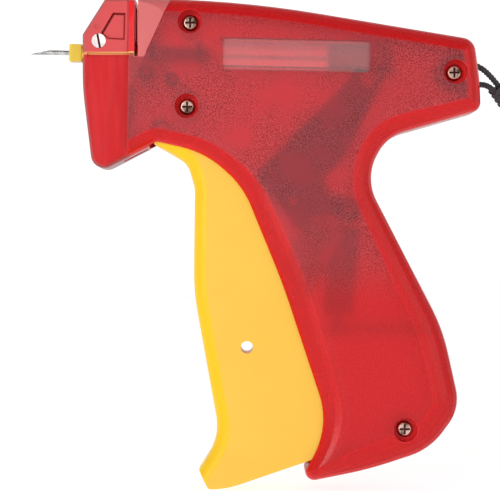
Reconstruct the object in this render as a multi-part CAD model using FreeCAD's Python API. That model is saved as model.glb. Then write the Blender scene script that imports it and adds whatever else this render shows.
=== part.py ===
"""Garment tag attacher: a pistol-grip hand tool that drives plastic fasteners through cloth.

Frame, in millimetres: +Z up, -X towards the needle, Y across the tool. The origin is the middle of the grip.
The two housing shells meet at Y = 0. The near shell is on the -Y side and holds the screw heads.
"""
import FreeCAD, Part
import math
import os

os.makedirs("parts", exist_ok=True)

# ---- driving dimensions ----
BODY_HALF = 13.0            # half the width of the body and grip
NOSE_HALF = 10.5            # half the width of the nose
WALL = 2.0                  # housing wall
EDGE_INSET = 6.5            # how far the rounded edge of the body reaches in from the outline
HOLLOW_EDGE_INSET = 8.5     # the same at the grip's hollows,
GRIP_EDGE_INSET = 12.0      # and on the fuller rounding of the rest of the grip
EDGE_DEPTH = 6.0            # how far the rounded edge reaches down from the side face
EDGE_STEPS = 6              # facets that make up a rounded edge
SMALLEST_RADIUS = 0.5       # no corner of an inset outline is sharper
SHARP = 0.0                 # radius of a corner that is not rounded
SPLIT_GAP = 0.02            # between the two shells at the parting line
FREE = 0.3                  # between pieces that move past each other
RUNNING = 0.05              # radial clearance of a shaft in its bore
SEAT = 0.02                 # between pieces that sit against each other
BEYOND = 6.0                # how far a cutting block reaches past what it cuts
PAST = 1.0                  # how far a hole's or a slot's cutter passes the face
OUTSIDE = 200.0             # outside the whole tool
RUN_SHARE = 0.96            # share of a straight run that its two corners may use up

# housing outline: (x, z, corner radius, reach of the rounded edge), clockwise as seen from the near side
HOUSING = [
    (-84.3, 109.4, 1.5, EDGE_INSET),            # nose, top front
    (-43.2, 109.4, 360.0, EDGE_INSET),          # long gentle bend of the top
    (37.1, 96.0, 5.0, EDGE_INSET),              # rear, top
    (38.9, 83.0, 60.0, EDGE_INSET),
    (39.3, 72.8, 3.3, EDGE_INSET),              # rear, bottom
    (8.5, 64.0, 14.0, HOLLOW_EDGE_INSET),       # hollow for the web of the thumb
    (1.1, 50.5, 16.0, HOLLOW_EDGE_INSET),
    (26.8, 0.7, 60.0, GRIP_EDGE_INSET),         # back of the grip
    (32.6, -25.4, 14.0, GRIP_EDGE_INSET),       # butt
    (22.6, -38.9, 22.0, GRIP_EDGE_INSET),
    (2.3, -45.6, 120.0, GRIP_EDGE_INSET),
    (-21.0, -50.2, 3.0, EDGE_INSET),            # toe
    (-11.1, -30.8, 25.0, HOLLOW_EDGE_INSET),    # front of the grip, where the trigger goes in
    (-26.5, 15.2, 200.0, GRIP_EDGE_INSET),
    (-39.5, 47.5, 30.0, HOLLOW_EDGE_INSET),
    (-52.0, 58.5, 30.0, EDGE_INSET),
    (-67.3, 61.9, 1.5, EDGE_INSET),             # top of the arch behind the nose
    (-88.3, 51.2, 4.5, EDGE_INSET),             # nose, bottom front
    (-91.8, 80.0, 80.0, EDGE_INSET),
    (-91.8, 97.6, 1.0, EDGE_INSET),
]

# the narrower nose: the sides step in at its back edge
NOSE_BACK_TOP = -76.4
NOSE_BACK_BOTTOM = -76.9
NOSE_BEND_Z = 89.5
NOSE_BEND_R = 40.0
ARCH_Z = 56.0

# clip slot, open at the top and through both sides
SLOT_BACK = -73.3
SLOT_WIDTH = 1.2
SLOT_FLOOR_Z = 90.0
SLOT_RIB_THICK = 1.8        # ribs that line the slot in front and behind
SLOT_RIB_INNER = 4.0        # from the mid-plane to a rib, which leaves room for the needle and the blade
SLOT_RIB_FOOT = 95.6
TOP_Z = 109.4

# facet that leads from the body's side down to the clip slot
FACET_TOP = (-63.0, 107.5)
FACET_FOOT = (-70.6, 91.1)
FACET_DROP = 2.5
FACET_RUN = 9.5
FACET_OVERRUN = 1.5         # the wedge is this much larger, and stops at the width of the nose

# window recess in each side: four corners
WINDOW = [(-45.7, 96.0, 1.5), (2.6, 94.7, 1.5), (2.4, 84.5, 1.5), (-45.8, 85.5, 1.5)]
WINDOW_DEPTH = 0.9

# opening along the front of the grip and the arch, where the trigger swings in: (x, z, corner radius)
MOUTH = [
    (-70.2, 52.0, 1.0),
    (-70.2, 64.6, 1.0),
    (-52.0, 63.0, 8.0),
    (-36.0, 52.0, 8.0),
    (-22.5, 17.0, 20.0),
    (-7.0, -28.0, 10.0),
    (-13.0, -44.0, 1.0),
    (-17.2, -44.9, 0.5),
    (-30.0, -50.0, 1.0),
    (-30.0, -10.0, 1.0),
    (-60.0, 45.0, 5.0),
]
MOUTH_CLEARANCE = 0.4       # beside the trigger

# recessed panel on the nose cap
CAP_PANEL = [
    (-81.4, 104.1, 0.6),
    (-77.7, 104.0, 0.6),
    (-77.9, 95.7, 0.8),
    (-83.0, 96.0, 0.6),
    (-85.1, 97.6, 0.6),
]
CAP_PANEL_DEPTH = 0.5
CAP_GROOVE = [(-85.0, 97.8), (-81.3, 104.0), (-77.8, 103.9)]   # deeper line along two of its edges
CAP_GROOVE_WIDTH = 0.8
CAP_GROOVE_DEPTH = 1.2
EJECTOR_MARK = (-86.6, 99.8)
EJECTOR_MARK_R = 0.9
EJECTOR_MARK_DEPTH = 0.3

# screws: places, and the steps of each recess from the outside in
FRONT_BOSS_AT = (-57.3, 73.7)
REAR_BOSS_AT = (30.4, 84.9)
SCREW_PLACES = [(-56.3, 101.3), FRONT_BOSS_AT, REAR_BOSS_AT, (14.1, -32.1)]
RECESS_R = 4.0
RECESS_DEPTH = 6.0
RECESS_WALL = 1.2
HEAD_R = 2.6
HEAD_THICK = 2.0
HEAD_DOME = 0.9             # rounding of the head
SHANK_R = 1.4
SHANK_LENGTH = 15.0
SHANK_HOLE_R = 1.6
BOSS_R = 3.4
CROSS_LENGTH = 3.4
CROSS_WIDTH = 0.7
CROSS_DEPTH = 1.2

# barrel: needle, rod and slider share one axis, tilted a little from X
TILT_DEG = 1.35
SLIDER_PIN_AT = (6.0, 89.9)
STROKE = 35.0
NEEDLE_R = 0.8
NEEDLE_BORE_R = 0.55
NEEDLE_TIP = -116.0         # along the barrel from the slider pin
NEEDLE_END = -80.6
NEEDLE_SLIT = 0.5
NEEDLE_POINT = 7.0          # length of the slanted point
ROD_R = 0.45
ROD_FRONT = -78.2
ROD_SEAT = 6.0              # how deep the rod sits in the slider

BASE_FRONT = -102.8
BASE_BACK = -98.4
BASE_TOP = 2.8
BASE_BOTTOM = -2.9
BASE_HALF = 2.4
BASE_EDGE = 0.5
RAIL_BACK = -80.0
RAIL_TOP = -0.1
RAIL_BOTTOM = -2.1
RAIL_HALF = 1.6
RAIL_BUMP_LENGTH = 1.4
RAIL_BUMP_TOP = 0.55
FLANGE_FRONT = -97.2        # of the flanges that slide in the nose, to each side of the rail
FLANGE_BACK = -80.7
FLANGE_TOP = -0.8
FLANGE_HALF = 9.0
FLANGE_GROOVE_FRONT = -96.0 # of the groove in the nose's sides that thins the wall outside a flange
FLANGE_GROOVE_DEPTH = 0.9
TAB_LENGTH = 8.4            # of the tab that the lock holds, behind the base
TAB_TOP = 1.15

LOCK_AT = (-86.2, 95.2)
LOCK_HEAD_R = 2.3
LOCK_HEAD_THICK = 1.2
LOCK_PROUD = 0.1            # of the head, over the nose cap
LOCK_STEM_R = 1.0
LOCK_LOBE_R = 1.45
LOCK_SLOT = 0.75
LOCK_SLOT_DEPTH = 0.6
LOCK_SLOT_DEG = 79.0        # how far the slot is turned from level

SLIDER_FRONT = -16.7
SLIDER_BACK = 3.2
SLIDER_HALF_HEIGHT = 3.65
SLIDER_HALF_WIDTH = 5.0
SLIDER_PIN_R = 1.5
SLIDER_EDGE = 0.8
FORK_DEPTH = 11.6           # how far the fork reaches forward from the slider's back
GUIDE_RIB_THICK = 1.2
GUIDE_SPARE_FRONT = 1.0     # of the rails, past the slider's travel
GUIDE_SPARE_BACK = 2.0

ROD_GUIDE_FRONT = -78.4
ROD_GUIDE_BACK = -56.0
ROD_GUIDE_HALF_HEIGHT = 2.5
ROD_GUIDE_HALF_WIDTH = 3.5
CUTTER_THICK = 0.6
CUTTER_HALF_HEIGHT = 3.2
CUTTER_HALF_WIDTH = 3.0
GUIDE_HOLDERS = (-75.0, -60.0)
HOLDER_THICK = 1.2

# trigger: (x, z, corner radius), counterclockwise, at rest
TRIGGER = [
    (-68.8, 65.0, 1.0),
    (-68.3, 61.7, SHARP),
    (-57.3, 55.3, 8.0),     # finger curve under the arch
    (-54.9, 47.0, 10.0),
    (-55.3, 13.0, 80.0),
    (-46.6, -35.0, 18.0),   # hollow above the foot
    (-53.5, -45.9, SHARP),  # foot
    (-50.4, -52.0, 1.5),
    (-44.0, -51.7, 30.0),
    (-18.5, -43.0, 60.0),
    (-10.5, -40.2, 3.0),    # hidden in the grip from here
    (-7.4, -29.0, 12.0),
    (-17.5, 4.0, 60.0),
    (-31.0, 34.0, 30.0),
    (-35.5, 48.0, 15.0),
    (-48.0, 60.3, 15.0),
    (-62.5, 69.0, 3.0),
]
TRIGGER_HALF = 8.5
TRIGGER_WALL = 2.0
TRIGGER_EDGE = 4.4          # rounding of the front edges
TRIGGER_PIVOT = (-65.9, 66.2)
TRIGGER_PIVOT_R = 1.5
TRIGGER_LUG_R = 3.9
TRIGGER_HOLE = (-37.7, -5.3)
TRIGGER_HOLE_R = 2.05
SLEEVE_WALL = 1.35
PIN_BOSS_WALL = 1.4         # round each pin that the shells hold
PIN_END_WALL = 0.4          # between the end of such a pin's bore and the shell's wall
FRONT_RUN_X = -46.0         # the rounded front edges are forward of this
FRONT_RUN_Z = (-44.0, 60.0) # and between these heights
CAVITY_TOP = [(-40.0, 76.0, 1.0), (-64.5, 76.0, 1.0), (-64.5, 61.6, 1.0)]
CAVITY_BACK = [(2.0, -36.0, 1.0), (2.0, -10.0, 1.0), (-20.0, 60.0, 1.0)]

# drive lever: (x, z, corner radius), at rest
LEVER = [
    (4.2, 95.8, 3.5),
    (11.9, 91.2, 3.5),
    (-6.2, 55.4, 6.0),
    (-12.6, 50.6, 4.0),
    (-9.5, 44.6, 4.0),
    (-2.0, 44.0, 1.5),
    (-2.0, 36.0, 1.5),
    (-20.8, 33.2, 5.0),
    (-35.6, 51.6, 4.0),
    (-3.2, 84.0, 18.0),
]
LEVER_HALF = 3.0
LEVER_PIVOT = (-22.5, 42.5)
LEVER_PIN_R = 1.5
LEVER_BUSH_R = 2.6
LEVER_SLOT_NEAR = 47.6      # reach of the slider pin's slot from the pivot
LEVER_SLOT_FAR = 55.8
LEVER_SLOT_PLAY = 0.8
LEVER_SLOT_SHIFT = 0.47
CROSS_PIN_AT = (-4.3, 40.0)
CROSS_PIN_R = 1.6
CROSS_PIN_HALF = 7.0
LEVER_RING_R = 4.2
HOOK_SLOT_HALF = 0.9

# fork in the trigger that lifts the cross pin
PUSHER = [
    (-39.0, 6.0, 2.0),
    (-38.0, 16.0, 3.0),
    (-27.0, 20.0, 20.0),
    (-15.5, 38.2, 1.5),
    (-4.0, 38.2, 0.4),
    (-4.0, 35.5, 1.0),
    (-17.5, 10.0, 8.0),
    (-19.0, 2.0, 3.0),
]
PUSHER_THICK = 1.0
PUSHER_WEB = (8.0, 14.0)     # heights between which the front web joins the two plates

# return spring and what holds its lower end
SPRING_WIRE_R = 0.6
SPRING_COIL_R = 4.6
SPRING_TURNS = 19
SPRING_TOP_GAP = 5.6        # from the cross pin's centre to the first turn
SPRING_FOOT_GAP = 4.6
HOOK_PLAY = 0.3             # between a hook and its pin
ANCHOR_AT = (-7.7, 0.7)
ANCHOR_PIN_R = 1.2
ANCHOR_HALF = 4.5
POST_HALF_HEIGHT = 1.9
POST_BACK = 24.0            # where the post meets the back of the grip

# feed
WHEEL_AT = (-70.6, 84.9)
WHEEL_R = 2.9
WHEEL_TOOTH_R = 3.9
WHEEL_TOOTH_ROOT = 1.3      # half the width of a tooth at the hub
WHEEL_TOOTH_TIP = 0.3
WHEEL_HUB_WALL = 1.0
WHEEL_TEETH = 6
WHEEL_HALF = 1.5
WHEEL_AXLE_R = 1.0
WHEEL_AXLE_HALF = 9.0
FEED_HUB_HALF = 4.5         # half the width over the hubs of the wheel and the pawl
PAWL_AT = (-62.0, 82.4)
PAWL = [(-63.6, 81.8, 0.8), (-67.0, 88.0, 0.4), (-65.6, 88.1, 0.4), (-60.4, 83.4, 0.8), (-61.0, 80.9, 0.8)]
PAWL_HALF = 1.2
PAWL_PIN_R = 0.9
PAWL_HUB_WALL = 0.8
DETENT_THICK = 0.3
DETENT_HALF = 2.0
DETENT_FRONT = -71.5
DETENT_FOOT = 1.0
CHUTE_RIB_THICK = 1.2
CHUTE_FRONT = [(-80.7, 88.6), (-82.5, 75.0), (-84.6, 58.4)]
CHUTE_BACK = [(-74.9, 79.8), (-76.0, 71.0), (-77.7, 61.0)]
CHUTE_EXIT = (-78.6, -70.6)
CHUTE_EXIT_HALF = 2.0
CHUTE_EXIT_TOP = 63.2

# lanyard
CORD_R = 1.0
CORD_HOLE_R = 1.7
HOLE_UPPER = (38.1, 88.6)
HOLE_LOWER = (38.6, 81.9)
CORD_TURN_AHEAD = 6.8       # the cord's corners round the rear boss: in front of its centre,
CORD_TURN_BESIDE = 5.95     # above and below it,
CORD_TURN_SHIFT = 0.4       # and this far forward
CORD_UPPER = [(46.4, 0.9, 81.2), (42.8, 0.2, 85.8)]
CORD_LOWER = [(42.6, -0.4, 81.6), (46.4, -1.3, 77.8)]
CORD_RUN_SHARE = 0.45       # share of the shorter run that an arc takes up
# wrist loop: down one side, round at the bottom and up the other side, back to the knot
CORD_LOOP = [
    (49.4, -1.8, 73.4),
    (51.4, -6.0, 58.0),
    (52.6, -12.0, 34.0),
    (52.6, -15.0, 6.0),
    (52.4, -14.0, -18.0),
    (52.0, -8.6, -34.9),
    (51.8, 1.0, -40.9),
    (52.0, 10.4, -33.9),
    (52.6, 15.0, -16.0),
    (53.2, 15.6, 8.0),
    (53.0, 12.4, 36.0),
    (52.0, 6.6, 59.0),
    (49.6, 1.8, 75.0),
]
KNOT_AT = (47.6, 0.0, 78.4)
KNOT_R = 3.6
KNOT_HALF = 4.2
KNOT_EDGE = 2.5
KNOT_LEAN_DEG = 35.0


# ---- shared shapes ----
def vec(x, y, z):
    return FreeCAD.Vector(x, y, z)


def cylinder(radius, at, y_low, y_high):
    """Round bar along Y at the place (x, z)."""
    return Part.makeCylinder(radius, y_high - y_low, vec(at[0], y_low, at[1]), vec(0, 1, 0))


def block(x_low, x_high, y_low, y_high, z_low, z_high):
    return Part.makeBox(x_high - x_low, y_high - y_low, z_high - z_low, vec(x_low, y_low, z_low))


def corner_turns(corners):
    """For each corner: its point, the unit directions back and ahead, and half the angle it turns."""
    turns = []
    count = len(corners)
    for i in range(count):
        point = vec(corners[i][0], 0, corners[i][1])
        before = vec(corners[i - 1][0], 0, corners[i - 1][1])
        after = vec(corners[(i + 1) % count][0], 0, corners[(i + 1) % count][1])
        back = (before - point).normalize()
        ahead = (after - point).normalize()
        turns.append((point, back, ahead, (math.pi - back.getAngle(ahead)) / 2))
    return turns


def rounded_wire(corners, y):
    """Closed wire in the plane at y: straight runs, with an arc of its own radius at each corner."""
    turns = corner_turns(corners)
    count = len(corners)
    reach = [corners[i][2] * math.tan(turns[i][3]) for i in range(count)]
    for i in range(count):
        ahead_of = (i + 1) % count
        run = turns[i][0].distanceToPoint(turns[ahead_of][0])
        wanted = reach[i] + reach[ahead_of]
        if wanted > RUN_SHARE * run:
            reach[i] *= RUN_SHARE * run / wanted
            reach[ahead_of] *= RUN_SHARE * run / wanted
    shift = vec(0, y, 0)
    edges = []
    last = turns[-1][0] + turns[-1][2] * reach[-1] + shift
    for i in range(count):
        point, back, ahead, half_turn = turns[i]
        start = point + back * reach[i] + shift
        if corners[i][2] == SHARP:
            edges.append(Part.LineSegment(last, start).toShape())
            last = start
            continue
        end = point + ahead * reach[i] + shift
        radius = reach[i] / math.tan(half_turn)
        inward = (back + ahead).normalize()
        middle = point + inward * (radius / math.cos(half_turn) - radius) + shift
        edges.append(Part.LineSegment(last, start).toShape())
        edges.append(Part.Arc(start, middle, end).toShape())
        last = end
    return Part.Wire(edges)


def inset_corners(corners, insets):
    """The outline with each corner moved in by its inset. Outer corners get tighter and hollow ones wider."""
    moved = []
    for i, (point, back, ahead, half_turn) in enumerate(corner_turns(corners)):
        inset = insets[i]
        turns_right = back.x * ahead.z - back.z * ahead.x > 0
        side = 1 if turns_right else -1
        inward = (back + ahead).normalize() * side
        place = point + inward * (inset / math.cos(half_turn))
        radius = max(corners[i][2] - side * inset, SMALLEST_RADIUS)
        moved.append((place.x, place.z, radius))
    return moved


def plate(corners, y_low, y_high):
    face = Part.Face(rounded_wire(corners, y_low))
    return face.extrude(vec(0, y_high - y_low, 0))


def even_inset(corners, inset):
    """The same outline moved in by one inset all round."""
    return inset_corners(corners, [inset] * len(corners))


def pillow(corners, edges, half, edge_depth, side):
    """Half of a body with soft edges, from the mid-plane out to half on the given side (-1 or +1).

    At each corner of the outline the rounded edge reaches in as far as the list edges says.
    """
    wires = [rounded_wire(corners, 0)]
    for step in range(EDGE_STEPS + 1):
        angle = math.pi / 2 * step / EDGE_STEPS
        insets = [edge * (1 - math.cos(angle)) for edge in edges]
        y = half - edge_depth * (1 - math.sin(angle))
        wires.append(rounded_wire(inset_corners(corners, insets), side * y))
    return Part.makeLoft(wires, True, True)


def strip(points, thick, y_low, y_high):
    """Thin wall of even thickness that follows a few points (x, z)."""
    rounds = [cylinder(thick / 2, point, y_low, y_high) for point in points]
    walls = []
    for first, second in zip(points, points[1:]):
        along = vec(second[0] - first[0], 0, second[1] - first[1])
        across = vec(along.z, 0, -along.x).normalize() * (thick / 2)
        start = vec(first[0], y_low, first[1])
        corners = [start - across, start + across, start + across + along, start - across + along]
        face = Part.Face(Part.makePolygon(corners + corners[:1]))
        walls.append(face.extrude(vec(0, y_high - y_low, 0)))
    return rounds[0].fuse(rounds[1:] + walls).removeSplitter()


def both_sides(low, high):
    """The stretch from low to high on each side of the middle."""
    return [(low, high), (-high, -low)]


def on_side(side, low, high):
    """The stretch from low to high on one side of the mid-plane, in rising order."""
    return (low, high) if side > 0 else (-high, -low)


def to_barrel(shape):
    """Move a shape from the barrel's own frame (origin at the slider pin) to its place."""
    placed = shape.copy()
    placed.rotate(vec(0, 0, 0), vec(0, 1, 0), TILT_DEG)
    placed.translate(vec(SLIDER_PIN_AT[0], 0, SLIDER_PIN_AT[1]))
    return placed


def save(shape, name):
    shape.exportStep("parts/" + name + ".step")


# ---- housing ----
def nose_region(grow=0.0):
    """Outline of the nose, seen from the side, moved back by grow."""
    far_front = HOUSING[-1][0] - BEYOND
    return [
        (far_front, TOP_Z + BEYOND, SHARP),
        (NOSE_BACK_TOP + grow, TOP_Z + BEYOND, SHARP),
        (NOSE_BACK_TOP + grow, NOSE_BEND_Z, NOSE_BEND_R),
        (NOSE_BACK_BOTTOM + grow, ARCH_Z - BEYOND, SHARP),
        (far_front, ARCH_Z - BEYOND, SHARP),
    ]


def facet_cut(side):
    """Wedge that slopes from the body's side face down to the width of the nose."""
    top = vec(FACET_TOP[0], side * BODY_HALF, FACET_TOP[1])
    foot = vec(FACET_FOOT[0], side * BODY_HALF, FACET_FOOT[1])
    along = (top - foot).normalize()
    across = vec(-along.z, 0, along.x)
    run = FACET_RUN * FACET_OVERRUN
    slope = vec(0, -side * FACET_DROP * FACET_OVERRUN, 0)
    outside = vec(0, side * BEYOND, 0)
    start = foot - along * (2 * BEYOND)
    corners = [start, start + across * run + slope, start + across * run + outside, start + outside]
    face = Part.Face(Part.makePolygon(corners + corners[:1]))
    wedge = face.extrude(along * (top.distanceToPoint(foot) + 3 * BEYOND))
    low, high = on_side(side, NOSE_HALF, BODY_HALF + BEYOND)
    return wedge.common(block(-OUTSIDE, OUTSIDE, low, high, -OUTSIDE, OUTSIDE))


def housing_walls(side):
    """Half shell with its mouth, slot, facet and narrow nose, before bosses and ribs."""
    edges = [corner[3] for corner in HOUSING]
    outer = pillow(HOUSING, edges, BODY_HALF, EDGE_DEPTH, side)
    nose_low, nose_high = on_side(side, NOSE_HALF, BODY_HALF + BEYOND)
    outer = outer.cut(plate(nose_region(), nose_low, nose_high))
    outer = outer.cut(facet_cut(side))
    inner_edges = [edge - WALL for edge in edges]
    inner = pillow(even_inset(HOUSING, WALL), inner_edges, BODY_HALF - WALL, EDGE_DEPTH - WALL, side)
    roof_low, roof_high = on_side(side, NOSE_HALF - WALL, BODY_HALF + BEYOND)
    inner = inner.cut(plate(nose_region(WALL), roof_low, roof_high))
    inner = inner.cut(facet_cut(side).translated(vec(0, -side * WALL, 0)))
    return outer, inner


def housing_additions(side):
    """Bosses and ribs that stand on the inside of one shell."""
    low, high = on_side(side, SPLIT_GAP, BODY_HALF - WALL / 2)
    recess_back = -BODY_HALF + RECESS_DEPTH + RECESS_WALL
    pieces = []
    for place in SCREW_PLACES:
        pieces.append(cylinder(BOSS_R, place, low, high))
        if side < 0:
            pieces.append(cylinder(RECESS_R + RECESS_WALL, place, -BODY_HALF + WALL / 2, recess_back))
    boss_low, boss_high = on_side(side, TRIGGER_HALF + MOUTH_CLEARANCE, BODY_HALF - WALL / 2)
    pieces.append(cylinder(TRIGGER_PIVOT_R + PIN_BOSS_WALL, TRIGGER_PIVOT, boss_low, boss_high))
    pieces.append(cylinder(LEVER_PIN_R + PIN_BOSS_WALL, LEVER_PIVOT, boss_low, boss_high))
    hub_low, hub_high = on_side(side, FEED_HUB_HALF, BODY_HALF - WALL / 2)
    pieces.append(cylinder(WHEEL_AXLE_R + PIN_BOSS_WALL, WHEEL_AT, hub_low, hub_high))
    pieces.append(cylinder(PAWL_PIN_R + PIN_BOSS_WALL, PAWL_AT, hub_low, hub_high))
    pieces += guide_ribs(side) + chute_ribs(side) + slot_ribs(side)
    pieces.append(spring_post(side))
    return pieces


def guide_ribs(side):
    """Rails above and below the slider, and the two holders of the rod guide."""
    rail_low, rail_high = on_side(side, LEVER_HALF + 2 * FREE, BODY_HALF - WALL / 2)
    ribs = []
    front = SLIDER_FRONT - STROKE - GUIDE_SPARE_FRONT
    back = SLIDER_BACK + GUIDE_SPARE_BACK
    z_near = SLIDER_HALF_HEIGHT + FREE
    for z_low, z_high in both_sides(z_near, z_near + GUIDE_RIB_THICK):
        ribs.append(to_barrel(block(front, back, rail_low, rail_high, z_low, z_high)))
    hold_low, hold_high = on_side(side, ROD_GUIDE_HALF_WIDTH + SEAT, BODY_HALF - WALL / 2)
    reach = ROD_GUIDE_HALF_HEIGHT + GUIDE_RIB_THICK
    for along in GUIDE_HOLDERS:
        ribs.append(to_barrel(block(along, along + HOLDER_THICK, hold_low, hold_high, -reach, reach)))
    return ribs


def chute_ribs(side):
    low, high = on_side(side, SPLIT_GAP, NOSE_HALF - WALL / 2)
    return [strip(line, CHUTE_RIB_THICK, low, high) for line in (CHUTE_FRONT, CHUTE_BACK)]


def slot_ribs(side):
    """Ribs in front of and behind the clip slot."""
    low, high = on_side(side, SLOT_RIB_INNER, NOSE_HALF - WALL / 2)
    top = TOP_Z - WALL / 2
    front = SLOT_BACK - SLOT_WIDTH - SLOT_RIB_THICK
    back = SLOT_BACK + SLOT_RIB_THICK
    return [block(front, back, low, high, SLOT_RIB_FOOT, top)]


def spring_post(side):
    """Tine that reaches forward from the back of the grip to the spring's anchor pin."""
    low, high = on_side(side, SPRING_WIRE_R + FREE, ANCHOR_HALF)
    x, z = ANCHOR_AT
    tine = block(x, POST_BACK, low, high, z - POST_HALF_HEIGHT, z + POST_HALF_HEIGHT)
    return tine.fuse(cylinder(POST_HALF_HEIGHT, ANCHOR_AT, low, high))


def housing_cuts(side):
    """Holes and recesses in one shell."""
    outer = BODY_HALF + PAST
    mouth_half = TRIGGER_HALF + MOUTH_CLEARANCE
    cuts = [plate(MOUTH, -mouth_half, mouth_half)]
    slot_front = SLOT_BACK - SLOT_WIDTH
    cuts.append(block(slot_front, SLOT_BACK, -outer, outer, SLOT_FLOOR_Z, TOP_Z + BEYOND))
    window_low, window_high = on_side(side, BODY_HALF - WINDOW_DEPTH, BODY_HALF + BEYOND)
    cuts.append(plate(WINDOW, window_low, window_high))
    for place in SCREW_PLACES:
        if side < 0:
            cuts.append(cylinder(RECESS_R, place, -outer, -BODY_HALF + RECESS_DEPTH))
            cuts.append(cylinder(SHANK_HOLE_R, place, -BODY_HALF, BODY_HALF))
        else:
            cuts.append(cylinder(SHANK_R + SEAT, place, -BODY_HALF, screw_tip_y() + PAST))
    bore_half = pin_bore_half()
    cuts.append(cylinder(TRIGGER_PIVOT_R + SEAT, TRIGGER_PIVOT, -bore_half, bore_half))
    cuts.append(cylinder(LEVER_PIN_R + SEAT, LEVER_PIVOT, -bore_half, bore_half))
    cuts.append(cylinder(WHEEL_AXLE_R + SEAT, WHEEL_AT, -WHEEL_AXLE_HALF, WHEEL_AXLE_HALF))
    cuts.append(cylinder(PAWL_PIN_R + SEAT, PAWL_AT, -WHEEL_AXLE_HALF, WHEEL_AXLE_HALF))
    cuts.append(cylinder(ANCHOR_PIN_R + SEAT, ANCHOR_AT, -BODY_HALF + WALL, BODY_HALF - WALL))
    exit_front, exit_back = CHUTE_EXIT
    exit_half = CHUTE_EXIT_HALF
    cuts.append(block(exit_front, exit_back, -exit_half, exit_half, ARCH_Z - BEYOND, CHUTE_EXIT_TOP))
    half = BASE_HALF + 2 * SEAT
    front = BASE_BACK - BEYOND
    back = RAIL_BACK + BEYOND
    cuts.append(to_barrel(block(front, back, -half, half, RAIL_BOTTOM - SEAT, TAB_TOP + SEAT)))
    flange_low, flange_high = RAIL_BOTTOM - SEAT, FLANGE_TOP + SEAT
    half = FLANGE_HALF + SEAT
    cuts.append(to_barrel(block(front, FLANGE_BACK + SEAT, -half, half, flange_low, flange_high)))
    low, high = on_side(side, NOSE_HALF - FLANGE_GROOVE_DEPTH, outer)
    cuts.append(to_barrel(block(FLANGE_GROOVE_FRONT, FLANGE_BACK, low, high, flange_low, flange_high)))
    if side < 0:
        cuts.append(cylinder(LOCK_HEAD_R + RUNNING, LOCK_AT, -BODY_HALF, -NOSE_HALF + LOCK_HEAD_THICK))
        cuts.append(cylinder(LOCK_STEM_R + RUNNING, LOCK_AT, -NOSE_HALF, 0))
        cuts.append(plate(CAP_PANEL, -BODY_HALF, -NOSE_HALF + CAP_PANEL_DEPTH))
        cuts.append(strip(CAP_GROOVE, CAP_GROOVE_WIDTH, -BODY_HALF, -NOSE_HALF + CAP_GROOVE_DEPTH))
        cuts.append(cylinder(EJECTOR_MARK_R, EJECTOR_MARK, -BODY_HALF, -NOSE_HALF + EJECTOR_MARK_DEPTH))
    for x, z in (HOLE_UPPER, HOLE_LOWER):
        start = vec(x - WALL - PAST, 0, z)
        cuts.append(Part.makeCylinder(CORD_HOLE_R, 2 * (WALL + PAST), start, vec(1, 0, 0)))
    return cuts


def pin_bore_half():
    """Half the length of the bore that both shells hold for a cross pin."""
    return BODY_HALF - WALL - PIN_END_WALL


def housing_shell(side):
    outer, inner = housing_walls(side)
    body = outer.cut(inner)
    added = housing_additions(side)
    room = added[0].fuse(added[1:]).common(outer)
    body = body.fuse(room)
    cuts = housing_cuts(side)
    body = body.cut(cuts[0].fuse(cuts[1:]))
    gap = block(-OUTSIDE, OUTSIDE, -SPLIT_GAP / 2, SPLIT_GAP / 2, -OUTSIDE, OUTSIDE)
    body = body.cut(gap)
    solids = sorted(body.Solids, key=lambda solid: solid.Volume)
    print("shell side", side, "solids", [round(solid.Volume, 1) for solid in solids], body.isValid())
    return solids[-1]


def screw_tip_y():
    return -BODY_HALF + RECESS_DEPTH + SHANK_LENGTH


def housing_screw(place):
    """Self-tapping screw with a domed cross head, its head at the floor of the recess."""
    floor = -BODY_HALF + RECESS_DEPTH - SEAT
    head = cylinder(HEAD_R, place, floor - HEAD_THICK, floor)
    rim = [edge for edge in head.Edges if abs(edge.BoundBox.YMin - floor + HEAD_THICK) < SEAT / 2
           and edge.BoundBox.YLength < SEAT]
    head = head.makeFillet(HEAD_DOME, rim)
    shank = cylinder(SHANK_R, place, floor, screw_tip_y())
    screw = head.fuse(shank).removeSplitter()
    y_low = floor - HEAD_THICK - PAST
    y_high = floor - HEAD_THICK + CROSS_DEPTH
    x, z = place
    arm = CROSS_LENGTH / 2
    thin = CROSS_WIDTH / 2
    cross = block(x - arm, x + arm, y_low, y_high, z - thin, z + thin)
    cross = cross.fuse(block(x - thin, x + thin, y_low, y_high, z - arm, z + arm))
    return screw.cut(cross)


# ---- needle, its base and its lock ----
def bar_along(radius, start, end):
    return Part.makeCylinder(radius, end - start, vec(start, 0, 0), vec(1, 0, 0))


def needle():
    body = bar_along(NEEDLE_R, NEEDLE_TIP, NEEDLE_END)
    body = body.cut(bar_along(NEEDLE_BORE_R, NEEDLE_TIP - PAST, NEEDLE_END + PAST))
    slit = block(NEEDLE_TIP - PAST, NEEDLE_END + PAST, -NEEDLE_SLIT / 2, NEEDLE_SLIT / 2, 0, 2 * NEEDLE_R)
    point = Part.Face(Part.makePolygon([
        vec(NEEDLE_TIP - PAST, 0, -NEEDLE_R),
        vec(NEEDLE_TIP, 0, -NEEDLE_R),
        vec(NEEDLE_TIP + NEEDLE_POINT, 0, NEEDLE_R),
        vec(NEEDLE_TIP + NEEDLE_POINT, 0, 2 * NEEDLE_R),
        vec(NEEDLE_TIP - PAST, 0, 2 * NEEDLE_R),
        vec(NEEDLE_TIP - PAST, 0, -NEEDLE_R),
    ])).extrude(vec(0, 4 * NEEDLE_R, 0))
    point.translate(vec(0, -2 * NEEDLE_R, 0))
    return to_barrel(body.cut(slit).cut(point))


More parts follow.
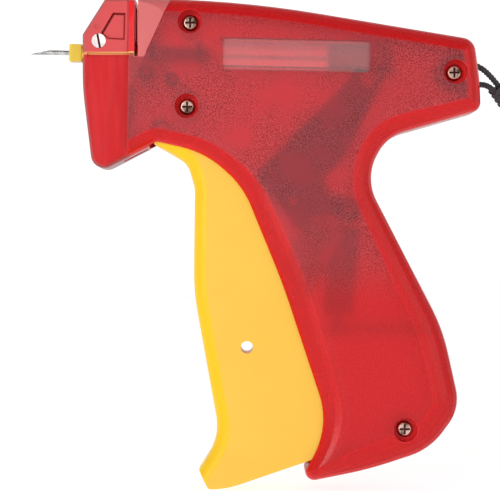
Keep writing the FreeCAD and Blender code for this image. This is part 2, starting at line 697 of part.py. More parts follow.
def needle_base():
    """Moulded block outside the nose, with a tab under the lock, a thin rail and a flange each side."""
    front = block(BASE_FRONT, BASE_BACK, -BASE_HALF, BASE_HALF, BASE_BOTTOM, BASE_TOP)
    upright = [edge for edge in front.Edges
               if edge.BoundBox.YLength > BASE_HALF or edge.BoundBox.ZLength > BASE_HALF]
    front = front.makeFillet(BASE_EDGE, upright)
    tab_back = BASE_BACK + TAB_LENGTH
    tab = block(BASE_BACK, tab_back, -BASE_HALF, BASE_HALF, RAIL_BOTTOM, TAB_TOP)
    rail = block(tab_back, RAIL_BACK, -RAIL_HALF, RAIL_HALF, RAIL_BOTTOM, RAIL_TOP)
    bump = block(RAIL_BACK - RAIL_BUMP_LENGTH, RAIL_BACK, -RAIL_HALF, RAIL_HALF, RAIL_TOP, RAIL_BUMP_TOP)
    flange = block(FLANGE_FRONT, FLANGE_BACK, -FLANGE_HALF, FLANGE_HALF, RAIL_BOTTOM, FLANGE_TOP)
    body = front.fuse([tab, rail, bump, flange]).removeSplitter()
    body = body.cut(bar_along(NEEDLE_R + SEAT, BASE_FRONT - PAST, RAIL_BACK + PAST))
    return to_barrel(body)


def needle_lock_screw():
    """Quarter-turn lock: slotted head flush in the nose cap, stem, and a lobe over the needle base."""
    head_back = -NOSE_HALF + LOCK_HEAD_THICK - SEAT
    head_front = -NOSE_HALF - LOCK_PROUD
    body = cylinder(LOCK_HEAD_R, LOCK_AT, head_front, head_back)
    body = body.fuse(cylinder(LOCK_STEM_R, LOCK_AT, head_back, BASE_HALF))
    lobe_at = (LOCK_AT[0], LOCK_AT[1] - LOCK_LOBE_R + LOCK_STEM_R - SEAT)
    body = body.fuse(cylinder(LOCK_LOBE_R, lobe_at, -BASE_HALF, BASE_HALF)).removeSplitter()
    reach = LOCK_HEAD_R + PAST
    thin = LOCK_SLOT / 2
    slot = block(-reach, reach, head_front - PAST, head_front + LOCK_SLOT_DEPTH, -thin, thin)
    slot.rotate(vec(0, 0, 0), vec(0, 1, 0), LOCK_SLOT_DEG)
    slot.translate(vec(LOCK_AT[0], 0, LOCK_AT[1]))
    return body.cut(slot)


# ---- slider and rod ----
def slider():
    half = SLIDER_HALF_WIDTH
    body = block(SLIDER_FRONT, SLIDER_BACK, -half, half, -SLIDER_HALF_HEIGHT, SLIDER_HALF_HEIGHT)
    long_edges = [edge for edge in body.Edges if edge.BoundBox.XLength > half]
    body = body.makeFillet(SLIDER_EDGE, long_edges)
    gap = LEVER_HALF + FREE
    tall = SLIDER_HALF_HEIGHT + PAST
    fork = block(SLIDER_BACK - FORK_DEPTH, SLIDER_BACK + PAST, -gap, gap, -tall, tall)
    body = body.cut(fork)
    body = body.cut(cylinder(SLIDER_PIN_R + SEAT, (0, 0), -2 * half, 2 * half))
    body = body.cut(bar_along(ROD_R + SEAT, SLIDER_FRONT - PAST, SLIDER_FRONT + ROD_SEAT))
    return to_barrel(body)


def slider_pin():
    return to_barrel(cylinder(SLIDER_PIN_R, (0, 0), -SLIDER_HALF_WIDTH, SLIDER_HALF_WIDTH))


def push_rod():
    return to_barrel(bar_along(ROD_R, ROD_FRONT, SLIDER_FRONT + ROD_SEAT - SEAT))


def rod_guide():
    half = ROD_GUIDE_HALF_WIDTH
    height = ROD_GUIDE_HALF_HEIGHT
    front = ROD_GUIDE_FRONT + CUTTER_THICK + SEAT
    body = block(front, ROD_GUIDE_BACK, -half, half, -height, height)
    body = body.cut(bar_along(ROD_R + RUNNING, ROD_GUIDE_FRONT - PAST, ROD_GUIDE_BACK + PAST))
    return to_barrel(body)


def cutter_blade():
    half = CUTTER_HALF_WIDTH
    front = ROD_GUIDE_FRONT
    body = block(front, front + CUTTER_THICK, -half, half, -ROD_GUIDE_HALF_HEIGHT, CUTTER_HALF_HEIGHT)
    return to_barrel(body.cut(bar_along(ROD_R + RUNNING, front - PAST, front + PAST)))


# ---- trigger ----
def front_edge_run(edge, y_face):
    """True for the edges of the side face along the finger side of the trigger."""
    box = edge.BoundBox
    flat = abs(box.YMin - y_face) < SEAT and abs(box.YMax - y_face) < SEAT
    middle = edge.CenterOfMass
    return flat and middle.x < FRONT_RUN_X and FRONT_RUN_Z[0] < middle.z < FRONT_RUN_Z[1]


def trigger():
    outer = plate(TRIGGER, -TRIGGER_HALF, TRIGGER_HALF)
    fronts = [edge for edge in outer.Edges
              if front_edge_run(edge, TRIGGER_HALF) or front_edge_run(edge, -TRIGGER_HALF)]
    outer = outer.makeFillet(TRIGGER_EDGE, fronts)
    outer = outer.fuse(cylinder(TRIGGER_LUG_R, TRIGGER_PIVOT, -TRIGGER_HALF, TRIGGER_HALF))
    cavity_half = TRIGGER_HALF - TRIGGER_WALL
    cavity = plate(trigger_cavity(), -cavity_half, cavity_half)
    body = outer.cut(cavity)
    body = body.cut(cylinder(TRIGGER_PIVOT_R + RUNNING, TRIGGER_PIVOT, -BODY_HALF, BODY_HALF))
    body = body.fuse(cylinder(TRIGGER_HOLE_R + SLEEVE_WALL, TRIGGER_HOLE, -cavity_half, cavity_half))
    body = body.cut(cylinder(TRIGGER_HOLE_R, TRIGGER_HOLE, -BODY_HALF, BODY_HALF))
    return body.removeSplitter()


def trigger_cavity():
    """The hollow between the trigger's side walls: one wall in at the front and foot, open at the back."""
    inner = even_inset(TRIGGER[::-1], TRIGGER_WALL)[::-1]
    finger_curve = 2
    sole_back = 9
    return CAVITY_TOP + inner[finger_curve:sole_back + 1] + CAVITY_BACK


def trigger_pusher():
    """Steel fork: a plate against each side wall of the trigger, joined by a web at the front."""
    cavity_half = TRIGGER_HALF - TRIGGER_WALL - SEAT
    plates = [plate(PUSHER, low, high) for low, high in both_sides(cavity_half - PUSHER_THICK, cavity_half)]
    front = PUSHER[0][0]
    web = block(front, front + PUSHER_THICK, -cavity_half, cavity_half, PUSHER_WEB[0], PUSHER_WEB[1])
    return web.fuse(plates).removeSplitter()


# ---- lever ----
def lever_slot():
    """Slot in the lever's arm for the slider pin, as a bar with round ends."""
    pivot_to_pin = math.atan2(SLIDER_PIN_AT[1] - LEVER_PIVOT[1], SLIDER_PIN_AT[0] - LEVER_PIVOT[0])
    ahead = (math.cos(pivot_to_pin), math.sin(pivot_to_pin))
    aside = (ahead[1], -ahead[0])
    ends = []
    for reach in (LEVER_SLOT_NEAR, LEVER_SLOT_FAR):
        x = LEVER_PIVOT[0] + ahead[0] * reach + aside[0] * LEVER_SLOT_SHIFT
        z = LEVER_PIVOT[1] + ahead[1] * reach + aside[1] * LEVER_SLOT_SHIFT
        ends.append((x, z))
    return strip(ends, 2 * (SLIDER_PIN_R + LEVER_SLOT_PLAY), -2 * LEVER_HALF, 2 * LEVER_HALF)


def drive_lever():
    body = plate(LEVER, -LEVER_HALF, LEVER_HALF)
    body = body.fuse(cylinder(LEVER_RING_R, CROSS_PIN_AT, -LEVER_HALF, LEVER_HALF))
    body = body.cut(lever_slot())
    body = body.cut(cylinder(LEVER_PIN_R + RUNNING, LEVER_PIVOT, -BODY_HALF, BODY_HALF))
    body = body.cut(cylinder(CROSS_PIN_R + SEAT, CROSS_PIN_AT, -BODY_HALF, BODY_HALF))
    x, z = CROSS_PIN_AT
    reach = LEVER_RING_R + FREE
    hook_room = block(x - reach, x + 2 * reach, -HOOK_SLOT_HALF, HOOK_SLOT_HALF, z - 2 * reach, z + reach)
    return body.cut(hook_room).removeSplitter()


def lever_bushes():
    inner = LEVER_HALF + SEAT
    outer = TRIGGER_HALF - TRIGGER_WALL - FREE
    rings = []
    for low, high in both_sides(inner, outer):
        ring = cylinder(LEVER_BUSH_R, LEVER_PIVOT, low, high)
        rings.append(ring.cut(cylinder(LEVER_PIN_R + SEAT, LEVER_PIVOT, low - PAST, high + PAST)))
    return Part.makeCompound(rings)


# ---- spring ----
def spring_ends():
    """The first and last turn's centre on the line from the cross pin to the anchor pin."""
    top = vec(CROSS_PIN_AT[0], 0, CROSS_PIN_AT[1])
    foot = vec(ANCHOR_AT[0], 0, ANCHOR_AT[1])
    down = (foot - top).normalize()
    return top + down * SPRING_TOP_GAP, foot - down * SPRING_FOOT_GAP, down


def spring_hook(end, gap, pin_r, way):
    """From the last turn in to the middle of the coil, on to the pin, and round it: up (1) or down (-1)."""
    wire = SPRING_WIRE_R
    loop_r = pin_r + wire + HOOK_PLAY
    start = vec(SPRING_COIL_R, 0, end)
    middle = vec(0, 0, end)
    neck = gap - loop_r
    return [
        Part.makeSphere(wire, start),
        Part.makeCylinder(wire, SPRING_COIL_R, middle, vec(1, 0, 0)),
        Part.makeSphere(wire, middle),
        Part.makeCylinder(wire, neck, middle, vec(0, 0, way)),
        Part.makeTorus(loop_r, wire, vec(0, 0, end + way * gap), vec(0, 1, 0)),
    ]


def return_spring():
    """Close coil, with a hook round the pin at each end."""
    upper, lower, down = spring_ends()
    length = upper.distanceToPoint(lower)
    helix = Part.makeHelix(length / SPRING_TURNS, length, SPRING_COIL_R)
    section = Part.Wire(Part.makeCircle(SPRING_WIRE_R, vec(SPRING_COIL_R, 0, 0), vec(0, 1, 0)))
    coil = Part.Wire(helix.Edges).makePipeShell([section], True, True)
    upper_hook = spring_hook(length, SPRING_TOP_GAP, CROSS_PIN_R, 1)
    lower_hook = spring_hook(0, SPRING_FOOT_GAP, ANCHOR_PIN_R, -1)
    coil = coil.fuse(upper_hook + lower_hook)
    coil.rotate(vec(0, 0, 0), vec(0, 1, 0), math.degrees(math.atan2(upper.x - lower.x, upper.z - lower.z)))
    coil.translate(lower)
    return coil


# ---- feed ----
def feed_wheel():
    body = cylinder(WHEEL_R, WHEEL_AT, -WHEEL_HALF, WHEEL_HALF)
    for tooth in range(WHEEL_TEETH):
        angle = 2 * math.pi * tooth / WHEEL_TEETH
        ahead = vec(math.cos(angle), 0, math.sin(angle))
        side = vec(-math.sin(angle), 0, math.cos(angle))
        hub = vec(WHEEL_AT[0], -WHEEL_HALF, WHEEL_AT[1])
        tip = hub + ahead * WHEEL_TOOTH_R
        corners = [hub - side * WHEEL_TOOTH_ROOT, tip - side * WHEEL_TOOTH_TIP,
                   tip + side * WHEEL_TOOTH_TIP, hub + side * WHEEL_TOOTH_ROOT]
        face = Part.Face(Part.makePolygon(corners + corners[:1]))
        body = body.fuse(face.extrude(vec(0, 2 * WHEEL_HALF, 0)))
    hub_half = FEED_HUB_HALF - RUNNING
    body = body.fuse(cylinder(WHEEL_AXLE_R + WHEEL_HUB_WALL, WHEEL_AT, -hub_half, hub_half))
    return body.cut(cylinder(WHEEL_AXLE_R + RUNNING, WHEEL_AT, -BODY_HALF, BODY_HALF)).removeSplitter()


def feed_pawl():
    body = plate(PAWL, -PAWL_HALF, PAWL_HALF)
    hub_half = FEED_HUB_HALF - RUNNING
    body = body.fuse(cylinder(PAWL_PIN_R + PAWL_HUB_WALL, PAWL_AT, -hub_half, hub_half))
    return body.cut(cylinder(PAWL_PIN_R + RUNNING, PAWL_AT, -BODY_HALF, BODY_HALF)).removeSplitter()


def detent_spring():
    """Leaf just under the feed wheel's teeth, on a foot that stands on the front screw boss."""
    x, z = FRONT_BOSS_AT
    leaf_top = WHEEL_AT[1] - WHEEL_TOOTH_R - FREE
    leaf = block(DETENT_FRONT, x, -DETENT_HALF, DETENT_HALF, leaf_top - DETENT_THICK, leaf_top)
    foot_low = z + BOSS_R + SEAT
    foot = block(x - DETENT_FOOT, x, -DETENT_HALF, DETENT_HALF, foot_low, leaf_top)
    return leaf.fuse(foot).removeSplitter()


# ---- lanyard ----
def cord_points():
    """Centre line of the cord: in at the upper hole, round the boss, out, and round the wrist loop."""
    x, z = REAR_BOSS_AT
    back = x - CORD_TURN_SHIFT
    round_boss = [
        (HOLE_UPPER[0], 0.0, HOLE_UPPER[1]),
        (back, 0.0, z + CORD_TURN_BESIDE),
        (x - CORD_TURN_AHEAD, 0.0, z),
        (back, 0.0, z - CORD_TURN_BESIDE),
        (HOLE_LOWER[0], 0.0, HOLE_LOWER[1]),
    ]
    return [vec(*place) for place in CORD_UPPER + round_boss + CORD_LOWER + CORD_LOOP]


def cord_tube(points):
    """Tube along straight runs joined by tangent arcs, each as large as its two runs allow."""
    edges = []
    last = points[0]
    length = 0.0
    for i in range(1, len(points) - 1):
        back = points[i - 1] - points[i]
        ahead = points[i + 1] - points[i]
        half_turn = (math.pi - back.getAngle(ahead)) / 2
        reach = CORD_RUN_SHARE * min(back.Length, ahead.Length)
        radius = reach / math.tan(half_turn)
        back.normalize()
        ahead.normalize()
        start = points[i] + back * reach
        end = points[i] + ahead * reach
        middle = points[i] + (back + ahead).normalize() * (radius / math.cos(half_turn) - radius)
        edges.append(Part.LineSegment(last, start).toShape())
        edges.append(Part.Arc(start, middle, end).toShape())
        length += edges[-1].Length + edges[-2].Length
        last = end
        print("cord corner", i, "radius", round(radius, 1), "turn", round(math.degrees(2 * half_turn)))
    edges.append(Part.LineSegment(last, points[-1]).toShape())
    length += edges[-1].Length
    path = Part.Wire(edges)
    start_way = (points[1] - points[0]).normalize()
    section = Part.Wire(Part.makeCircle(CORD_R, points[0], start_way))
    tube = path.makePipeShell([section], True, True)
    print("cord length", round(length, 1), "volume", round(tube.Volume, 1),
          "section times length", round(math.pi * CORD_R ** 2 * length, 1), tube.isValid())
    return tube


def lanyard_knot():
    """Rounded body of the knot, leaning with the cord."""
    body = Part.makeCylinder(KNOT_R, 2 * KNOT_HALF, vec(0, 0, -KNOT_HALF))
    rims = [edge for edge in body.Edges if edge.BoundBox.ZLength < SEAT]
    body = body.makeFillet(KNOT_EDGE, rims)
    body.rotate(vec(0, 0, 0), vec(0, 1, 0), 180 - KNOT_LEAN_DEG)
    body.translate(vec(*KNOT_AT))
    return body


# ---- all pieces ----
pin_half = pin_bore_half() - SEAT
save(housing_shell(-1), "near_shell")
save(housing_shell(1), "far_shell")
save(Part.makeCompound([housing_screw(place) for place in SCREW_PLACES]), "housing_screws")
save(needle(), "needle")
save(needle_base(), "needle_base")
save(needle_lock_screw(), "needle_lock_screw")
save(trigger(), "trigger")
save(trigger_pusher(), "trigger_pusher")
save(cylinder(TRIGGER_PIVOT_R, TRIGGER_PIVOT, -pin_half, pin_half), "trigger_pivot_pin")
save(drive_lever(), "drive_lever")
save(cylinder(LEVER_PIN_R, LEVER_PIVOT, -pin_half, pin_half), "lever_pivot_pin")
save(lever_bushes(), "lever_bushes")
save(cylinder(CROSS_PIN_R, CROSS_PIN_AT, -CROSS_PIN_HALF, CROSS_PIN_HALF), "lever_cross_pin")
save(return_spring(), "return_spring")
save(cylinder(ANCHOR_PIN_R, ANCHOR_AT, -ANCHOR_HALF, ANCHOR_HALF), "spring_anchor_pin")
save(slider(), "slider")
save(slider_pin(), "slider_pin")
save(push_rod(), "push_rod")
save(rod_guide(), "rod_guide")
save(cutter_blade(), "cutter_blade")
save(feed_wheel(), "feed_wheel")
save(cylinder(WHEEL_AXLE_R, WHEEL_AT, -WHEEL_AXLE_HALF + SEAT, WHEEL_AXLE_HALF - SEAT), "feed_wheel_axle")
save(feed_pawl(), "feed_pawl")
save(cylinder(PAWL_PIN_R, PAWL_AT, -WHEEL_AXLE_HALF + SEAT, WHEEL_AXLE_HALF - SEAT), "feed_pawl_pin")
save(detent_spring(), "detent_spring")
save(cord_tube(cord_points()), "lanyard_cord")
save(lanyard_knot(), "lanyard_knot")
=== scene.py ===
"""Garment tag attacher: materials, cord, knot, spring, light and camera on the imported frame."""
import math

import bpy
from mathutils import Matrix, Vector


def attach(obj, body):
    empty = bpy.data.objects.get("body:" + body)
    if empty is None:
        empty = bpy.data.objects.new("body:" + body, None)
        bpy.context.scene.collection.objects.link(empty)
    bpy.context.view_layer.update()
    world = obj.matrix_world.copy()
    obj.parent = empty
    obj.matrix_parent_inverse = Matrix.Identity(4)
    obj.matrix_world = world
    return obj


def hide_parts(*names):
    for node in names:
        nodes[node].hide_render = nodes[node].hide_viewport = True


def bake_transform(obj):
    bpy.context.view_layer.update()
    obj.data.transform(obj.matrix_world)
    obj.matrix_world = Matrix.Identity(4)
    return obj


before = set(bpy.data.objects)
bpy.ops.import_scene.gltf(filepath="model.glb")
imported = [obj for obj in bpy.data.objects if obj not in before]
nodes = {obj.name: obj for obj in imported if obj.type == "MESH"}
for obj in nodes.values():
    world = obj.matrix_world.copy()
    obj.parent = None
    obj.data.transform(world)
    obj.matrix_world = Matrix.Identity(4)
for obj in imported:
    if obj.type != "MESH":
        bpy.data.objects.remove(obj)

for name in ("Cube", "Light", "Camera"):
    if name in bpy.data.objects:
        bpy.data.objects.remove(bpy.data.objects[name])
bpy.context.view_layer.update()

MM = 0.001
scene = bpy.context.scene


# ---- node helpers ----
def link(tree, source, target):
    tree.links.new(source, target)


def add_node(tree, kind, **values):
    """New node; a value goes to the property of that name, or else to the input."""
    made = tree.nodes.new(kind)
    for key, value in values.items():
        if hasattr(made, key):
            setattr(made, key, value)
        else:
            made.inputs[key.replace("_", " ")].default_value = value
    return made


def new_material(name):
    """Material with one Principled shader, and its object coordinates."""
    material = bpy.data.materials.new(name)
    material.use_nodes = True
    tree = material.node_tree
    tree.nodes.clear()
    output = tree.nodes.new("ShaderNodeOutputMaterial")
    shader = tree.nodes.new("ShaderNodeBsdfPrincipled")
    link(tree, shader.outputs[0], output.inputs["Surface"])
    coords = tree.nodes.new("ShaderNodeTexCoord").outputs["Object"]
    return material, tree, shader, coords


def noise(tree, coords, size, detail=2.0, roughness=0.5, stretch=None):
    """Noise whose features are about size metres, as a value."""
    made = add_node(tree, "ShaderNodeTexNoise", Scale=1.0 / size, Detail=detail, Roughness=roughness)
    if stretch is not None:
        mapping = add_node(tree, "ShaderNodeMapping", Scale=stretch)
        link(tree, coords, mapping.inputs["Vector"])
        coords = mapping.outputs[0]
    link(tree, coords, made.inputs["Vector"])
    return made.outputs[0]


def ramp(tree, value, low, high, to_low=0.0, to_high=1.0):
    """Value from low to high, smoothly turned into to_low to to_high."""
    made = add_node(tree, "ShaderNodeMapRange", interpolation_type="SMOOTHSTEP")
    for place, number in zip(("From Min", "From Max", "To Min", "To Max"), (low, high, to_low, to_high)):
        made.inputs[place].default_value = number
    link(tree, value, made.inputs["Value"])
    return made.outputs[0]


def blend_colours(tree, factor, first, second):
    made = add_node(tree, "ShaderNodeMix", data_type="RGBA")
    link(tree, factor, made.inputs[0])
    for socket, colour in ((made.inputs[6], first), (made.inputs[7], second)):
        if hasattr(colour, "links"):
            link(tree, colour, socket)
        else:
            socket.default_value = (*colour, 1.0)
    return made.outputs[2]


def combine(tree, operation, first, second):
    made = add_node(tree, "ShaderNodeMath", operation=operation)
    link(tree, first, made.inputs[0])
    if hasattr(second, "links"):
        link(tree, second, made.inputs[1])
    else:
        made.inputs[1].default_value = second
    return made.outputs[0]


def bump(tree, shader, height, distance, strength=1.0):
    made = add_node(tree, "ShaderNodeBump", Strength=strength, Distance=distance)
    link(tree, height, made.inputs["Height"])
    link(tree, made.outputs[0], shader.inputs["Normal"])


def axes_of(tree, coords):
    """The x, y and z of the coordinates, and the distance from the mid-plane."""
    split = tree.nodes.new("ShaderNodeSeparateXYZ")
    link(tree, coords, split.inputs[0])
    x, y, z = split.outputs
    away = tree.nodes.new("ShaderNodeMath")
    away.operation = "ABSOLUTE"
    link(tree, y, away.inputs[0])
    return x, y, z, away.outputs[0]


def mix_values(tree, factor, first, second):
    """Value that goes from first to second with the factor."""
    made = add_node(tree, "ShaderNodeMix", data_type="FLOAT")
    link(tree, factor, made.inputs[0])
    for socket, value in ((made.inputs[2], first), (made.inputs[3], second)):
        if hasattr(value, "links"):
            link(tree, value, socket)
        else:
            socket.default_value = value
    return made.outputs[0]


def within(tree, value, low, high, soft):
    """1 where the value lies between low and high, with soft borders."""
    rising = ramp(tree, value, low - soft, low + soft)
    falling = ramp(tree, value, high - soft, high + soft, 1.0, 0.0)
    return combine(tree, "MULTIPLY", rising, falling)


def all_of(tree, first, *others):
    """Product of masks."""
    for other in others:
        first = combine(tree, "MULTIPLY", first, other)
    return first


def any_of(tree, first, *others):
    """Greatest of masks."""
    for other in others:
        first = combine(tree, "MAXIMUM", first, other)
    return first


def principled_of(material):
    return next(item for item in material.node_tree.nodes if item.type == "BSDF_PRINCIPLED")


# ---- red plastic ----
# Places on the housing are in mm, and Y ranges are distances from the mid-plane.
SOFT = 0.1                         # half the width of a border between two finishes
SCREW_PLACES = [(-56.3, 101.3), (-57.3, 73.7), (30.4, 84.9), (14.1, -32.1)]
RECESS_R = 4.15
RECESS_DEPTH = (-12.9, -6.8)       # y, on the near side only
FACET_SLOPE = (-0.9073, 0.4205)    # across the facet's rear border, in x and z
FACET_START = 102.36               # how far along that direction the facet starts
FACET_FOOT = (89.6, 90.0)          # the facet gives way to the grained slope between these heights
BORDER_HALF = 0.15                 # half the width of the painted shade line along the facet's border
BORDER_BACK = (-71.5, -71.3)       # the painted shade line along the border fades in between these places
NOSE_SIDE = (10.55, 10.65)
NOSE_BACK = -76.35
NOSE_BLEND = 0.15
NOSE_TIP = -92.0
CAP_FOOT = 91.25
CAP_BACK_LINE = (0.4, 0.1)         # the painted shade line at the cap's rear lies this far ahead of the nose's back
SLOT_FRONT = -74.5
SLOT_BACK = -73.3
SLOT_INNER = (10.1, 10.4)
FLANGE_LINE = (90.7, 91.6)         # the base's flange shows through the nose between these heights
CAP_PANEL = [(-81.4, 104.1), (-77.7, 104.0), (-77.9, 95.7), (-83.0, 96.0), (-85.1, 97.6)]
CAP_SHADE_LINE = 0.28                    # half the width of the painted shade line along the panel's border
WINDOW_X = (-46.0, 2.8)
WINDOW_Z = (84.3, 96.2)
WINDOW_Y = (11.6, 12.3)
GRAINED_Y = (12.55, 12.95)
INNER_FACE_Y = (11.2, 11.6)        # flat faces nearer than this are the inside of a wall
GRIP_Z = (8.0, 30.0)               # grip below, body above
REAR_X = (-10.0, 30.0)
TOP_Z = (92.0, 100.0)


def span_ramp(tree, value, span, to_low=0.0, to_high=1.0):
    """The ramp over a span in mm."""
    return ramp(tree, value, span[0] * MM, span[1] * MM, to_low, to_high)


def inside(tree, value, span, soft=SOFT):
    """1 within a span in mm."""
    return within(tree, value, span[0] * MM, span[1] * MM, soft * MM)


def near_axis(tree, x, z, place, radius):
    """1 within the radius of a line across the tool at the place (x, z)."""
    aside = combine(tree, "SUBTRACT", x, place[0] * MM)
    above = combine(tree, "SUBTRACT", z, place[1] * MM)
    squares = combine(tree, "ADD", all_of(tree, aside, aside), all_of(tree, above, above))
    return ramp(tree, squares, (0.97 * radius * MM) ** 2, (1.03 * radius * MM) ** 2, 1.0, 0.0)


def beyond_line(tree, x, z, slope, start):
    """How far past a straight line across the tool the point (x, z) lies, in metres."""
    along = combine(tree, "ADD", all_of(tree, x, slope[0]), all_of(tree, z, slope[1]))
    return combine(tree, "SUBTRACT", along, start * MM)


def outside(tree, x, z, corners):
    """How far outside a convex outline, given clockwise, the point (x, z) lies; negative inside."""
    farthest = None
    for (x_from, z_from), (x_to, z_to) in zip(corners, corners[1:] + corners[:1]):
        length = math.hypot(x_to - x_from, z_to - z_from)
        slope = ((z_from - z_to) / length, (x_to - x_from) / length)
        past = beyond_line(tree, x, z, slope, slope[0] * x_from + slope[1] * z_from)
        farthest = past if farthest is None else combine(tree, "MAXIMUM", farthest, past)
    return farthest


def above_foot(tree, z, to_low=0.0, to_high=1.0):
    """1 above the foot of the cap, or below it with the two ends swapped."""
    return span_ramp(tree, z, (CAP_FOOT - SOFT, CAP_FOOT + SOFT), to_low, to_high)


def painted_shade_lines(tree, x, z, past_facet):
    """1 on the painted shade lines round the cap's panel and along the borders of the cap and the facet."""
    panel = inside(tree, outside(tree, x, z, CAP_PANEL), (-CAP_SHADE_LINE, CAP_SHADE_LINE), 0.08)
    back = inside(tree, x, (NOSE_BACK - CAP_BACK_LINE[0], NOSE_BACK - CAP_BACK_LINE[1]), 0.06)
    border = inside(tree, past_facet, (-BORDER_HALF, BORDER_HALF), 0.08)
    border = all_of(tree, border, span_ramp(tree, x, BORDER_BACK))
    return all_of(tree, any_of(tree, panel, back, border), above_foot(tree, z))


def red_regions(tree, x, y, z, away, facing):
    """Masks of the housing's finishes and of its painted shade and light, each laid over the ones before it.
    """
    ahead = span_ramp(tree, x, (NOSE_BACK - NOSE_BLEND, NOSE_BACK + NOSE_BLEND), 1.0, 0.0)
    past = beyond_line(tree, x, z, FACET_SLOPE, FACET_START)
    past_line = span_ramp(tree, past, (-SOFT, SOFT))
    slope = all_of(tree, past_line, span_ramp(tree, z, FACET_FOOT, 1.0, 0.0), span_ramp(tree, away, NOSE_SIDE),
                   ramp(tree, facing, 0.93, 0.96))
    # painted shade: the screw recesses are painted a deeper red; this picks them out round each screw
    recess_shade = any_of(tree, *(near_axis(tree, x, z, place, RECESS_R) for place in SCREW_PLACES))
    return {
        "grained": any_of(tree, span_ramp(tree, away, GRAINED_Y), slope),
        "facet": all_of(tree, past_line, span_ramp(tree, z, FACET_FOOT)),
        "nose": all_of(tree, ahead, above_foot(tree, z, 1.0, 0.0)),
        "cap": all_of(tree, ahead, above_foot(tree, z)),
        "slot": all_of(tree, inside(tree, x, (NOSE_BACK, SLOT_BACK + SOFT)), above_foot(tree, z)),
        # painted shade: dark lines at the cap's panel, the cap's rear and the facet's border
        "lines": painted_shade_lines(tree, x, z, past),
        "flange": all_of(tree, inside(tree, x, (NOSE_TIP, SLOT_FRONT)), inside(tree, z, FLANGE_LINE)),
        "window": all_of(tree, inside(tree, x, WINDOW_X), inside(tree, z, WINDOW_Z),
                         inside(tree, away, WINDOW_Y)),
        "recess_shade": all_of(tree, recess_shade, inside(tree, y, RECESS_DEPTH)),
    }


